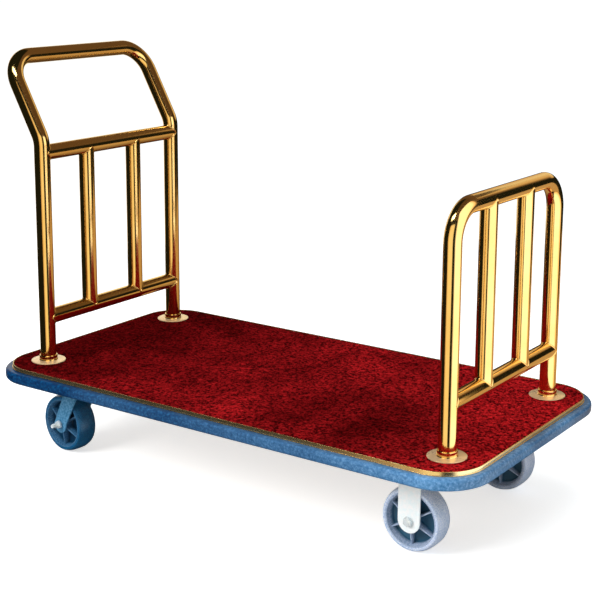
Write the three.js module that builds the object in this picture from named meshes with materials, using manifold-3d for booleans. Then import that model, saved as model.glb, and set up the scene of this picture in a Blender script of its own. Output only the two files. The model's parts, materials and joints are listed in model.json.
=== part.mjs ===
// A hotel luggage cart: a carpeted deck on four casters, between a tall push hoop and a low front hoop.
// Millimetres, +Z up. The cart is pushed along +X, so its left side is +Y and its push hoop is at -X.
// The origin is on the floor, under the middle of the whole cart.

import * as THREE from "three";
import { mergeVertices } from "three/addons/utils/BufferGeometryUtils.js";
import Module from "manifold-3d";

const wasm = await Module();
wasm.setup();

// Clearance between pieces that meet
const GAP = 0.3;

// Deck, from the carpet down to the rails that the casters bolt to
const DECK_TOP = 223;
const DECK_LENGTH = 1220;
const DECK_WIDTH = 622;
const DECK_CORNER = 88;
const FIELD_LENGTH = 760;
const FIELD_WIDTH = 560;
const CARPET_THICKNESS = 6;
const BOARD_THICKNESS = 19;
const RAIL_THICKNESS = 19;
const RAIL_WIDTH = 100;
const RAIL_LENGTH = 520;
const BOARD_TOP = DECK_TOP - CARPET_THICKNESS;
const BOARD_BOTTOM = BOARD_TOP - BOARD_THICKNESS;
const RAIL_BOTTOM = BOARD_BOTTOM - RAIL_THICKNESS;

// Edge channel and the bumper that it holds
const CHANNEL_WALL = 2;
const CHANNEL_CROWN = 0.5;
const CHANNEL_LIP = 2.4;
const CHANNEL_LIP_THICKNESS = 1;
const CHANNEL_SHELF = 6;
const CHANNEL_FLANGE = 14;
const CHANNEL_FLANGE_THICKNESS = 1.6;
const CHANNEL_DEPTH = 35;
const BUMPER_DROP = 8.5;
const BUMPER_HEIGHT = 24.8;
const BUMPER_REACH = 19;
const BUMPER_STRAIGHT = 8;
const BUMPER_STEPS = 8;
const BUMPER_TOP = DECK_TOP - BUMPER_DROP;
const BUMPER_BOTTOM = BUMPER_TOP - BUMPER_HEIGHT;

// Tubes of the two hoops
const TUBE_RADIUS = 18.2;
const TUBE_WALL = 1.6;
const POST_SPACING = 447;
const HOOP_SPACING = 1066;
const CORNER_BEND = 66;
const FRONT_HOOP_HEIGHT = 484;
const LEAN_HEIGHT = 519;
const LEAN_BEND = 60;
const HANDLE_HEIGHT = 701;
const HANDLE_LEAN = 102;
const LOWER_BAR_HEIGHT = 104;
const UPPER_BAR_HEIGHT = 490;
const UPRIGHT_SPACING = 162;

// Flanges round the feet of the posts, and the bolts that pull the posts down
const FLANGE_RADIUS = 39.5;
const FLANGE_EDGE = 1.4;
const FLANGE_THICKNESS = 3;
const FLANGE_COLLAR_RADIUS = 20.8;
const FLANGE_COLLAR_HEIGHT = 14;
const FLANGE_ROUNDING = 0.8;
const PLUG_RADIUS = 15.8;
const PLUG_HEIGHT = 28;
const POST_BOLT_RADIUS = 5;
const POST_BOLT_ACROSS_FLATS = 17;
const POST_BOLT_HEAD = 7;
const POST_BOLT_THREADED = 24;

// Wheels, the same on all four casters
const WHEEL_RADIUS = 68;
const WHEEL_WIDTH = 50;
const TREAD_SHOULDER = 11;
const RIM_RADIUS = 57.4;
const RIM_LIP = 2.4;
const WEB_RADIUS = 50;
const WEB_THICKNESS = 9;
const RIB_COUNT = 6;
const RIB_THICKNESS = 3.4;
const RIB_RIM_WIDTH = 30;
const BOSS_RADIUS = 14;
const BOSS_WIDTH = 54;
const BUSHING_RADIUS = 8;
const AXLE_RADIUS = 5;
const AXLE_ACROSS_FLATS = 17;
const AXLE_HEAD = 6.4;
const AXLE_NUT = 8;
const FRONT_THREAD_END = 3;
const REAR_THREAD_END = 14;

// Caster forks and plates
const FRONT_AXLE_X = 450;
const REAR_SWIVEL_X = -467;
const CASTER_SPACING = 385;
const SWIVEL_TRAIL = 38;
const SWIVEL_REST_TURN = THREE.MathUtils.degToRad(-7);
const PLATE_LENGTH = 92;
const PLATE_WIDTH = 66;
const PLATE_THICKNESS = 4;
const PLATE_CORNER = 9;
const PLATE_HOLE_RADIUS = 4.3;
const PLATE_HOLE_INSET = 10;
const PLATE_BOTTOM = RAIL_BOTTOM - PLATE_THICKNESS;
const FORK_SHEET = 3.5;
const FORK_INNER = 28.2;
const RIGID_LEG_RADIUS = 25;
const SWIVEL_LEG_RADIUS = 22;
const CROWN_RADIUS = 31;
const CROWN_TOP = 161;
const CROWN_THICKNESS = 6;
const CROWN_BOTTOM = CROWN_TOP - CROWN_THICKNESS;
const RACE_WIDTH = 8;
const RACE_HEIGHT = 6;
const KINGPIN_RADIUS = 6;
const KINGPIN_HEAD_RADIUS = 10.5;
const KINGPIN_HEAD = 6;

// Facets
const TUBE_SIDES = 16;
const BORE_SIDES = 14;
const WHEEL_SIDES = 24;
const ROUND_SIDES = 18;
const BOLT_SIDES = 12;
const BEND_STEPS = 6;
const CORNER_STEPS = 8;

// The handle leans out past the bumper, so the cart's middle is a little behind the deck's middle.
const DECK_REACH = DECK_LENGTH / 2 + BUMPER_REACH;
const HANDLE_REACH = HOOP_SPACING / 2 + HANDLE_LEAN + TUBE_RADIUS;
const MIDDLE_SHIFT = (HANDLE_REACH - DECK_REACH) / 2;

const FINISHES = {
  brass: { color: 0xc9922e, metalness: 1, roughness: 0.12 },
  carpet: { color: 0x8e0a14, metalness: 0, roughness: 1 },
  rubber_blue: { color: 0x2f6ba6, metalness: 0, roughness: 0.45 },
  rubber_grey: { color: 0x8d93ab, metalness: 0, roughness: 0.6 },
  wheel_plastic: { color: 0x7c829c, metalness: 0, roughness: 0.5 },
  zinc: { color: 0xc3cbd2, metalness: 1, roughness: 0.3 },
  steel: { color: 0x9a9ea3, metalness: 1, roughness: 0.35 },
  plywood: { color: 0x9c7a52, metalness: 0, roughness: 0.8 },
  bronze: { color: 0x9a7440, metalness: 1, roughness: 0.4 },
};

function mesh(name, geometry, finish) {
  const piece = new THREE.Mesh(geometry, new THREE.MeshStandardMaterial(FINISHES[finish]));
  piece.name = name;
  return piece;
}

// Booleans

function toSolid(geometry) {
  const plain = geometry.clone();
  plain.deleteAttribute("normal");
  plain.deleteAttribute("uv");
  const merged = mergeVertices(plain);
  const triVerts = new Uint32Array(merged.index.array);
  const vertProperties = new Float32Array(merged.attributes.position.array);
  return new wasm.Manifold(new wasm.Mesh({ numProp: 3, vertProperties, triVerts }));
}

function toGeometry(solid) {
  const { vertProperties, triVerts } = solid.getMesh();
  const geometry = new THREE.BufferGeometry();
  geometry.setAttribute("position", new THREE.BufferAttribute(vertProperties, 3));
  geometry.setIndex(new THREE.BufferAttribute(triVerts, 1));
  geometry.computeVertexNormals();
  return geometry;
}

function join(...geometries) {
  return toGeometry(geometries.map(toSolid).reduce((whole, part) => whole.add(part)));
}

function cut(geometry, ...cutters) {
  const solids = cutters.map(toSolid);
  return toGeometry(solids.reduce((whole, part) => whole.subtract(part), toSolid(geometry)));
}

// Shapes

function roundPoints(radius, sides) {
  const angles = Array.from({ length: sides }, (_, i) => (2 * Math.PI * (i + 0.5)) / sides);
  return angles.map((angle) => new THREE.Vector2(radius * Math.cos(angle), radius * Math.sin(angle)));
}

function roundedRectangle(length, width, corner) {
  const x = length / 2 - corner;
  const y = width / 2 - corner;
  const shape = new THREE.Shape();
  shape.absarc(x, y, corner, 0, Math.PI / 2);
  shape.absarc(-x, y, corner, Math.PI / 2, Math.PI);
  shape.absarc(-x, -y, corner, Math.PI, 1.5 * Math.PI);
  shape.absarc(x, -y, corner, 1.5 * Math.PI, 2 * Math.PI);
  return shape;
}

function addHole(shape, x, y, radius, sides) {
  const points = roundPoints(radius, sides).map((point) => point.add(new THREE.Vector2(x, y)));
  shape.holes.push(new THREE.Path(points));
}

function slab(shape, bottom, thickness, curveSegments = 3) {
  const options = { depth: thickness, bevelEnabled: false, curveSegments };
  return new THREE.ExtrudeGeometry(shape, options).translate(0, 0, bottom);
}

// A plate that stands upright: its outline is drawn in X and Z, and it is as thick as its two Y faces say.
function uprightPlate(shape, yLow, yHigh) {
  const geometry = new THREE.ExtrudeGeometry(shape, {
    depth: yHigh - yLow,
    bevelEnabled: false,
    curveSegments: 6,
  });
  return geometry.rotateX(Math.PI / 2).translate(0, yHigh, 0);
}

// A ring or disc turned about Z from pairs of radius and height, which go round it anticlockwise.
function turned(pairs, sides) {
  const points = pairs.map(([radius, height]) => new THREE.Vector2(radius, height));
  const closed = pairs[0][0] > 0 ? [...points, points[0].clone()] : points;
  return new THREE.LatheGeometry(closed, sides).rotateX(Math.PI / 2);
}

// The same about Y, with a flat of the polygon facing straight down.
function turnedAboutY(pairs, sides) {
  return turned(pairs, sides).rotateZ(Math.PI / sides).rotateX(-Math.PI / 2);
}

function hexagon(acrossFlats) {
  const angles = Array.from({ length: 6 }, (_, i) => (Math.PI * (2 * i + 1)) / 6);
  const radius = acrossFlats / Math.sqrt(3);
  const corners = angles.map((a) => new THREE.Vector2(radius * Math.cos(a), radius * Math.sin(a)));
  return new THREE.Shape(corners);
}

// A hexagon-headed bolt standing on its head, from z = 0 up.
function hexBolt(acrossFlats, head, radius, length) {
  const root = head / 2;
  const shoulder = length - 1;
  const pairs = [[0, root], [radius, root], [radius, shoulder], [radius - 1, length], [0, length]];
  return join(slab(hexagon(acrossFlats), 0, head), turned(pairs, BOLT_SIDES));
}

// A tube's centre line: straight runs joined by round bends, with stations only where the line turns.
class BentPath extends THREE.Curve {
  constructor(corners, radii = []) {
    super();
    this.stations = [];
    this.directions = [];
    const first = corners[1].clone().sub(corners[0]).normalize();
    this.addStation(corners[0], first);
    radii.forEach((radius, i) => this.addBend(corners[i], corners[i + 1], corners[i + 2], radius));
    const last = corners.at(-1).clone().sub(corners.at(-2)).normalize();
    this.addStation(corners.at(-1), last);
  }

  addStation(point, direction) {
    this.stations.push(point);
    this.directions.push(direction);
  }

  addBend(before, corner, after, radius) {
    const inward = corner.clone().sub(before).normalize();
    const outward = after.clone().sub(corner).normalize();
    const turn = inward.angleTo(outward);
    const axis = inward.clone().cross(outward).normalize();
    const start = corner.clone().addScaledVector(inward, -radius * Math.tan(turn / 2));
    const centre = start.clone().addScaledVector(axis.clone().cross(inward), radius);
    const steps = Math.ceil((BEND_STEPS * turn) / (Math.PI / 2)) + 1;
    for (let i = 0; i <= steps; i += 1) {
      const angle = (turn * i) / steps;
      const arm = start.clone().sub(centre).applyAxisAngle(axis, angle);
      this.addStation(arm.add(centre), inward.clone().applyAxisAngle(axis, angle));
    }
  }

  between(list, t) {
    const place = t * (list.length - 1);
    const index = Math.min(Math.floor(place), list.length - 2);
    return list[index].clone().lerp(list[index + 1], place - index);
  }

  getUtoTmapping(u) {
    return u;
  }

  getPoint(t) {
    return this.between(this.stations, t);
  }

  getTangent(t) {
    return this.between(this.directions, t).normalize();
  }
}

function tubeAlong(path, radius, bore) {
  const section = new THREE.Shape(roundPoints(radius, TUBE_SIDES));
  if (bore > 0) {
    section.holes.push(new THREE.Path(roundPoints(bore, BORE_SIDES)));
  }
  return new THREE.ExtrudeGeometry(section, {
    steps: path.stations.length - 1,
    extrudePath: path,
    bevelEnabled: false,
  });
}

function hollowTube(path) {
  return tubeAlong(path, TUBE_RADIUS, TUBE_RADIUS - TUBE_WALL);
}

// The room that a tube takes up, for cutting the ends of the tubes welded to it.
function tubeRoom(path) {
  return tubeAlong(path, TUBE_RADIUS + GAP, 0);
}

// A closed band round the deck: the section is pairs of reach out from the deck's edge and height,
// which go round it anticlockwise.
function edgeBand(section) {
  const x = DECK_LENGTH / 2 - DECK_CORNER;
  const y = DECK_WIDTH / 2 - DECK_CORNER;
  const corners = [[x, y], [-x, y], [-x, -y], [x, -y]];
  const positions = [];
  corners.forEach(([cornerX, cornerY], quarter) => {
    for (let i = 0; i <= CORNER_STEPS; i += 1) {
      const angle = (Math.PI / 2) * (quarter + i / CORNER_STEPS);
      for (const [reach, height] of section) {
        const radius = DECK_CORNER + reach;
        positions.push(cornerX + radius * Math.cos(angle), cornerY + radius * Math.sin(angle), height);
      }
    }
  });
  const stations = corners.length * (CORNER_STEPS + 1);
  const count = section.length;
  const index = [];
  for (let i = 0; i < stations; i += 1) {
    const here = i * count;
    const next = ((i + 1) % stations) * count;
    for (let j = 0; j < count; j += 1) {
      const k = (j + 1) % count;
      index.push(here + j, next + j, next + k, here + j, next + k, here + k);
    }
  }
  const geometry = new THREE.BufferGeometry();
  geometry.setAttribute("position", new THREE.Float32BufferAttribute(positions, 3));
  geometry.setIndex(index);
  geometry.computeVertexNormals();
  return geometry;
}

// Deck

const POSTS = [-1, 1].flatMap((end) =>
  [-1, 1].map((side) => ({
    name: `${end < 0 ? "rear" : "front"}_${side < 0 ? "right" : "left"}`,
    x: (end * HOOP_SPACING) / 2,
    y: (side * POST_SPACING) / 2,
  })),
);

// A sheet of the deck, drilled for the posts. Its middle is one plain field, clear of the flanges and the rails.
function deckSheet(holeRadius, bottom, thickness) {
  const inset = 2 * GAP;
  const outline = roundedRectangle(DECK_LENGTH - inset, DECK_WIDTH - inset, DECK_CORNER - GAP);
  for (const post of POSTS) {
    addHole(outline, post.x, post.y, holeRadius, ROUND_SIDES);
  }
  const x = FIELD_LENGTH / 2;
  const y = FIELD_WIDTH / 2;
  const corners = [[-x, -y], [x, -y], [x, y], [-x, y]].map(([a, b]) => new THREE.Vector2(a, b));
  outline.holes.push(new THREE.Path(corners));
  const border = slab(outline, bottom, thickness, CORNER_STEPS / 2);
  return join(border, slab(new THREE.Shape(corners), bottom, thickness));
}

function edgeChannel() {
  const lipEdge = CHANNEL_WALL + CHANNEL_LIP;
  const lipBottom = BUMPER_TOP + GAP;
  const lipTop = lipBottom + CHANNEL_LIP_THICKNESS;
  const shelfEdge = CHANNEL_WALL + CHANNEL_SHELF;
  const shelfTop = BUMPER_BOTTOM - GAP;
  const shelfBottom = DECK_TOP - CHANNEL_DEPTH;
  const flangeTop = BOARD_BOTTOM - GAP;
  const flangeBottom = flangeTop - CHANNEL_FLANGE_THICKNESS;
  return edgeBand([
    [-CHANNEL_FLANGE, flangeBottom],
    [0, flangeBottom],
    [0, shelfBottom],
    [shelfEdge, shelfBottom],
    [shelfEdge, shelfTop],
    [CHANNEL_WALL, shelfTop],
    [CHANNEL_WALL, lipBottom],
    [lipEdge, lipBottom],
    [lipEdge, lipTop],
    [CHANNEL_WALL, lipTop],
    [CHANNEL_WALL, DECK_TOP],
    [CHANNEL_WALL / 2, DECK_TOP + CHANNEL_CROWN],
    [0, DECK_TOP],
    [0, flangeTop],
    [-CHANNEL_FLANGE, flangeTop],
  ]);
}

// The bumper is flat where it meets the channel and half round outside.
function bumper() {
  const back = CHANNEL_WALL + GAP;
  const half = BUMPER_HEIGHT / 2;
  const middle = BUMPER_BOTTOM + half;
  const section = [];
  for (let i = 0; i <= BUMPER_STEPS; i += 1) {
    const angle = Math.PI * (i / BUMPER_STEPS - 0.5);
    const reach = BUMPER_STRAIGHT + (BUMPER_REACH - BUMPER_STRAIGHT) * Math.cos(angle);
    section.push([reach, middle + half * Math.sin(angle)]);
  }
  return edgeBand([[back, BUMPER_BOTTOM], ...section, [back, BUMPER_TOP]]);
}

function casterRail(x) {
  const outline = roundedRectangle(RAIL_WIDTH, RAIL_LENGTH, 8);
  return slab(outline, RAIL_BOTTOM, RAIL_THICKNESS, 2).translate(x, 0, 0);
}

function deck() {
  return [
    mesh("deck_board", deckSheet(POST_BOLT_RADIUS + GAP, BOARD_BOTTOM, BOARD_THICKNESS), "plywood"),
    mesh("carpet", deckSheet(TUBE_RADIUS + GAP, BOARD_TOP, CARPET_THICKNESS), "carpet"),
    mesh("edge_channel", edgeChannel(), "brass"),
    mesh("bumper", bumper(), "rubber_blue"),
    mesh("front_caster_rail", casterRail(FRONT_AXLE_X), "plywood"),
    mesh("rear_caster_rail", casterRail(REAR_SWIVEL_X), "plywood"),
  ];
}

// Hoops

function hoopPath(x, heights, lean) {
  const side = POST_SPACING / 2;
  const rightLeg = [new THREE.Vector3(x, -side, BOARD_TOP)];
  heights.forEach((height, i) => {
    rightLeg.push(new THREE.Vector3(x - lean * i, -side, DECK_TOP + height));
  });
  const leftLeg = rightLeg.map((point) => new THREE.Vector3(point.x, -point.y, point.z)).reverse();
  const bends = heights.length > 1 ? [LEAN_BEND, CORNER_BEND] : [CORNER_BEND];
  return new BentPath([...rightLeg, ...leftLeg], [...bends, ...[...bends].reverse()]);
}

function crossbarPath(x, height) {
  const z = DECK_TOP + height;
  const ends = [-1, 1].map((side) => new THREE.Vector3(x, (side * POST_SPACING) / 2, z));
  return new BentPath(ends);
}

function uprightPath(x, side, top) {
  const y = (side * UPRIGHT_SPACING) / 2;
  const bottom = DECK_TOP + LOWER_BAR_HEIGHT;
  return new BentPath([new THREE.Vector3(x, y, bottom), new THREE.Vector3(x, y, DECK_TOP + top)]);
}

// One hoop with its crossbars and the two uprights between them. The uprights end at the top tube.
function hoop(end, x, frame, crossbars, topHeight) {
  const lower = crossbarPath(x, LOWER_BAR_HEIGHT);
  const top = crossbarPath(x, topHeight);
  const pieces = [mesh(`${end}_hoop`, hollowTube(frame), "brass")];
  for (const [name, height] of crossbars) {
    const bar = cut(hollowTube(crossbarPath(x, height)), tubeRoom(frame));
    pieces.push(mesh(`${end}_${name}_crossbar`, bar, "brass"));
  }
  for (const side of [-1, 1]) {
    const upright = cut(hollowTube(uprightPath(x, side, topHeight)), tubeRoom(lower), tubeRoom(top));
    pieces.push(mesh(`${end}_upright_${side < 0 ? "right" : "left"}`, upright, "brass"));
  }
  return pieces;
}

function hoops() {
  const x = HOOP_SPACING / 2;
  const pushFrame = hoopPath(-x, [LEAN_HEIGHT, HANDLE_HEIGHT], HANDLE_LEAN);
  const frontFrame = hoopPath(x, [FRONT_HOOP_HEIGHT], 0);
  const pushBars = [["lower", LOWER_BAR_HEIGHT], ["upper", UPPER_BAR_HEIGHT]];
  return [
    ...hoop("rear", -x, pushFrame, pushBars, UPPER_BAR_HEIGHT),
    ...hoop("front", x, frontFrame, [["lower", LOWER_BAR_HEIGHT]], FRONT_HOOP_HEIGHT),
  ];
}

// Post feet: a flange on the carpet, a threaded plug inside the post, and a bolt up through the board.

function postFoot(post) {
  const bore = TUBE_RADIUS + GAP;
  const collarTop = DECK_TOP + FLANGE_COLLAR_HEIGHT;
  const flange = turned(
    [
      [bore, DECK_TOP],
      [FLANGE_RADIUS, DECK_TOP],
      [FLANGE_RADIUS, DECK_TOP + FLANGE_EDGE],
      [FLANGE_COLLAR_RADIUS + FLANGE_ROUNDING, DECK_TOP + FLANGE_THICKNESS],
      [FLANGE_COLLAR_RADIUS, DECK_TOP + FLANGE_THICKNESS + FLANGE_ROUNDING],
      [FLANGE_COLLAR_RADIUS, collarTop - FLANGE_ROUNDING],
      [FLANGE_COLLAR_RADIUS - FLANGE_ROUNDING, collarTop],
      [bore, collarTop],
    ],
    ROUND_SIDES,
  );
  const threads = POST_BOLT_RADIUS + GAP;
  const plugBottom = BOARD_TOP + GAP;
  const plugTop = plugBottom + PLUG_HEIGHT;
  const plug = turned(
    [[threads, plugBottom], [PLUG_RADIUS, plugBottom], [PLUG_RADIUS, plugTop], [threads, plugTop]],
    BORE_SIDES,
  );
  const length = POST_BOLT_HEAD + BOARD_THICKNESS + POST_BOLT_THREADED;
  const bolt = hexBolt(POST_BOLT_ACROSS_FLATS, POST_BOLT_HEAD, POST_BOLT_RADIUS, length);
  bolt.translate(0, 0, BOARD_BOTTOM - POST_BOLT_HEAD - GAP);
  const pieces = [
    mesh(`${post.name}_flange`, flange, "brass"),
    mesh(`${post.name}_post_plug`, plug, "steel"),
    mesh(`${post.name}_post_bolt`, bolt, "zinc"),
  ];
  for (const piece of pieces) {
    piece.position.set(post.x, post.y, 0);
  }
  return pieces;
}

// Wheels and axles, built about the axle's middle with the axle along Y

function tyre() {
  const inner = RIM_RADIUS + GAP;
  const tread = WHEEL_RADIUS / Math.cos(Math.PI / WHEEL_SIDES);
  const side = WHEEL_WIDTH / 2;
  const half = [
    [inner, side - 2],
    [inner + 1, side],
    [tread - 6, side - 0.4],
    [tread - 2, side - TREAD_SHOULDER / 3],
    [tread, side - TREAD_SHOULDER],
  ];
  const mirrored = half.map(([radius, y]) => [radius, -y]);
  return turnedAboutY([...mirrored, ...half.reverse()], WHEEL_SIDES);
}

function hub() {
  const rimSide = WHEEL_WIDTH / 2 - 1;
  const bossSide = BOSS_WIDTH / 2;
  const webSide = WEB_THICKNESS / 2;
  const half = [
    [BUSHING_RADIUS + GAP, bossSide],
    [BOSS_RADIUS, bossSide],
    [BOSS_RADIUS + 1.5, webSide],
    [WEB_RADIUS, webSide],
    [RIM_RADIUS - RIM_LIP, rimSide],
    [RIM_RADIUS, rimSide],
  ];
  const mirrored = half.map(([radius, y]) => [radius, -y]);
  const body = turnedAboutY([...mirrored, ...half.reverse()], WHEEL_SIDES);
  const ribStart = BOSS_RADIUS - 2;
  const ribEnd = WEB_RADIUS + 3;
  const ribSide = bossSide - 3;
  const rib = new THREE.Shape([
    new THREE.Vector2(ribStart, ribSide),
    new THREE.Vector2(ribStart, -ribSide),
    new THREE.Vector2(ribEnd, -RIB_RIM_WIDTH / 2),
    new THREE.Vector2(ribEnd, RIB_RIM_WIDTH / 2),
  ]);
  const ribs = Array.from({ length: RIB_COUNT }, (_, i) => {
    const plate = slab(rib, -RIB_THICKNESS / 2, RIB_THICKNESS);
    return plate.rotateY((Math.PI * (2 * i + 1)) / RIB_COUNT);
  });
  return join(body, ...ribs);
}

function wheel(name) {
  return [mesh(`${name}_tyre`, tyre(), "rubber_grey"), mesh(`${name}_hub`, hub(), "wheel_plastic")];
}

// The bolt's head and its nut are on opposite outer faces of the fork; nutSide is the nut's side.
function axle(name, nutSide, threadLength) {
  const outerFace = FORK_INNER + FORK_SHEET + GAP;
  const turn = nutSide > 0 ? 0 : Math.PI;
  const length = AXLE_HEAD + 2 * outerFace + AXLE_NUT + threadLength;
  const bolt = hexBolt(AXLE_ACROSS_FLATS, AXLE_HEAD, AXLE_RADIUS, length);
  bolt.rotateX(-Math.PI / 2).translate(0, -outerFace - AXLE_HEAD, 0).rotateZ(turn);
  const nutShape = hexagon(AXLE_ACROSS_FLATS);
  addHole(nutShape, 0, 0, AXLE_RADIUS + GAP, BOLT_SIDES);
  const nut = slab(nutShape, 0, AXLE_NUT);
  nut.rotateX(-Math.PI / 2).translate(0, outerFace, 0).rotateZ(turn);
  const half = FORK_INNER - GAP;
  const bore = AXLE_RADIUS + GAP;
  const bushingPairs = [[bore, -half], [BUSHING_RADIUS, -half], [BUSHING_RADIUS, half], [bore, half]];
  const bushing = turnedAboutY(bushingPairs, WHEEL_SIDES);
  return [
    mesh(`${name}_axle_bolt`, bolt, "zinc"),
    mesh(`${name}_axle_nut`, nut, "zinc"),
    mesh(`${name}_axle_bushing`, bushing, "bronze"),
  ];
}

// Caster plates and forks, built about the caster's vertical axis with the floor at z = 0

function casterPlate(middleHole) {
  const outline = roundedRectangle(PLATE_LENGTH, PLATE_WIDTH, PLATE_CORNER);
  const holeX = PLATE_LENGTH / 2 - PLATE_HOLE_INSET;
  const holeY = PLATE_WIDTH / 2 - PLATE_HOLE_INSET;
  for (const x of [-holeX, holeX]) {
    for (const y of [-holeY, holeY]) {
      addHole(outline, x, y, PLATE_HOLE_RADIUS, 10);
    }
  }
  if (middleHole > 0) {
    addHole(outline, 0, 0, middleHole, ROUND_SIDES);
  }
  return slab(outline, PLATE_BOTTOM, PLATE_THICKNESS);
}

function legPair(outline) {
  const outer = FORK_INNER + FORK_SHEET;
  return [uprightPlate(outline, -outer, -FORK_INNER), uprightPlate(outline, FORK_INNER, outer)];
}

function axleHole(x) {
  const reach = FORK_INNER + 2 * FORK_SHEET;
  const bore = AXLE_RADIUS + GAP;
  const hole = turnedAboutY([[0, -reach], [bore, -reach], [bore, reach], [0, reach]], BOLT_SIDES);
  return hole.translate(x, 0, WHEEL_RADIUS);
}

// A rigid caster in one piece: its plate, a bridge under it, and two straight legs with round ends.
function rigidFork() {
  const legTop = PLATE_BOTTOM + 1;
  const leg = new THREE.Shape();
  leg.absarc(0, WHEEL_RADIUS, RIGID_LEG_RADIUS, Math.PI, 2 * Math.PI);
  leg.lineTo(RIGID_LEG_RADIUS, legTop);
  leg.lineTo(-RIGID_LEG_RADIUS, legTop);
  const bridge = roundedRectangle(2 * RIGID_LEG_RADIUS, 2 * FORK_INNER + FORK_SHEET, 1);
  const bridgeBottom = PLATE_BOTTOM - FORK_SHEET;
  const horn = slab(bridge, bridgeBottom, legTop - bridgeBottom);
  return cut(join(casterPlate(0), horn, ...legPair(leg)), axleHole(0));
}

// A swivel fork: a round crown on the kingpin, and two legs that slant back to the trailing axle.
function swivelFork() {
  const slope = Math.atan2(CROWN_TOP - WHEEL_RADIUS, SWIVEL_TRAIL - 5);
  const frontSide = slope - Math.PI / 2;
  const edgeAtTop = (angle) => {
    const x = SWIVEL_LEG_RADIUS * Math.cos(angle) - SWIVEL_TRAIL;
    const z = SWIVEL_LEG_RADIUS * Math.sin(angle) + WHEEL_RADIUS;
    return x + (CROWN_TOP - z) / Math.tan(slope);
  };
  const backX = edgeAtTop(frontSide + Math.PI);
  const frontX = edgeAtTop(frontSide);
  const leg = new THREE.Shape();
  leg.absarc(-SWIVEL_TRAIL, WHEEL_RADIUS, SWIVEL_LEG_RADIUS, frontSide + Math.PI, frontSide + 2 * Math.PI);
  leg.lineTo(frontX, CROWN_TOP);
  leg.lineTo(backX, CROWN_TOP);
  const crown = slab(new THREE.Shape(roundPoints(CROWN_RADIUS, ROUND_SIDES)), CROWN_BOTTOM, CROWN_THICKNESS);
  const bridge = new THREE.BoxGeometry(frontX - backX, 2 * FORK_INNER + 2, CROWN_THICKNESS);
  bridge.translate((frontX + backX) / 2, 0, CROWN_TOP - CROWN_THICKNESS / 2);
  const pinRadius = KINGPIN_RADIUS + GAP;
  const pinHole = turned(
    [[0, CROWN_BOTTOM - 2], [pinRadius, CROWN_BOTTOM - 2], [pinRadius, CROWN_TOP + 2], [0, CROWN_TOP + 2]],
    ROUND_SIDES,
  );
  return cut(join(crown, bridge, ...legPair(leg)), axleHole(-SWIVEL_TRAIL), pinHole);
}

// The part of a swivel caster that stays with the deck: plate with its race cup, ball race and kingpin
function swivelMount(name) {
  const cupInner = CROWN_RADIUS - RACE_WIDTH;
  const cupBottom = CROWN_TOP + RACE_HEIGHT;
  const cupTop = PLATE_BOTTOM + 1;
  const cup = turned(
    [[cupInner, cupBottom], [CROWN_RADIUS, cupBottom], [CROWN_RADIUS, cupTop], [cupInner, cupTop]],
    ROUND_SIDES,
  );
  const raceBottom = CROWN_TOP + GAP;
  const raceTop = cupBottom - GAP;
  const raceOuter = CROWN_RADIUS - 1;
  const race = turned(
    [
      [cupInner, raceBottom],
      [raceOuter - 2, raceBottom],
      [raceOuter, (raceBottom + raceTop) / 2],
      [raceOuter - 2, raceTop],
      [cupInner, raceTop],
    ],
    ROUND_SIDES,
  );
  const headTop = CROWN_BOTTOM - GAP;
  const headBottom = headTop - KINGPIN_HEAD;
  const pinTop = RAIL_BOTTOM - 1;
  const kingpin = turned(
    [
      [0, headBottom],
      [KINGPIN_HEAD_RADIUS - 1.5, headBottom],
      [KINGPIN_HEAD_RADIUS, headBottom + 1.5],
      [KINGPIN_HEAD_RADIUS, headTop],
      [KINGPIN_RADIUS, headTop],
      [KINGPIN_RADIUS, pinTop],
      [0, pinTop],
    ],
    ROUND_SIDES,
  );
  return [
    mesh(`${name}_swivel_plate`, join(casterPlate(KINGPIN_RADIUS + GAP), cup), "zinc"),
    mesh(`${name}_swivel_race`, race, "steel"),
    mesh(`${name}_kingpin`, kingpin, "zinc"),
  ];
}

function placed(pieces, x, y, z, turn = 0) {
  const group = new THREE.Group();
  group.position.set(x, y, z);
  group.rotation.z = turn;
  group.add(...pieces);
  return group;
}

function rigidCaster(side) {
  const name = side < 0 ? "front_right" : "front_left";
  const atAxle = placed([...axle(name, -side, FRONT_THREAD_END), ...wheel(name)], 0, 0, WHEEL_RADIUS);
  const fork = mesh(`${name}_fork`, rigidFork(), "zinc");
  return placed([fork, atAxle], FRONT_AXLE_X, (side * CASTER_SPACING) / 2, 0);
}

function swivelCaster(side) {
  const name = side < 0 ? "rear_right" : "rear_left";
  const pieces = [...axle(name, side, REAR_THREAD_END), ...wheel(name)];
  const atAxle = placed(pieces, -SWIVEL_TRAIL, 0, WHEEL_RADIUS);
  const fork = mesh(`${name}_fork`, swivelFork(), "zinc");
  const turning = placed([fork, atAxle], 0, 0, 0, SWIVEL_REST_TURN);
  return placed([...swivelMount(name), turning], REAR_SWIVEL_X, (side * CASTER_SPACING) / 2, 0);
}

const cart = new THREE.Group();
cart.position.x = MIDDLE_SHIFT;
cart.add(...deck(), ...hoops(), ...POSTS.flatMap(postFoot));
for (const side of [-1, 1]) {
  cart.add(rigidCaster(side), swivelCaster(side));
}

export default cart;
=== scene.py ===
# The looks of a hotel luggage cart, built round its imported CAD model. Metres, in the CAD model's own frame.
import contextlib
import json
import math

import bmesh
import bpy
import numpy as np
from mathutils import Matrix, Vector


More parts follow.
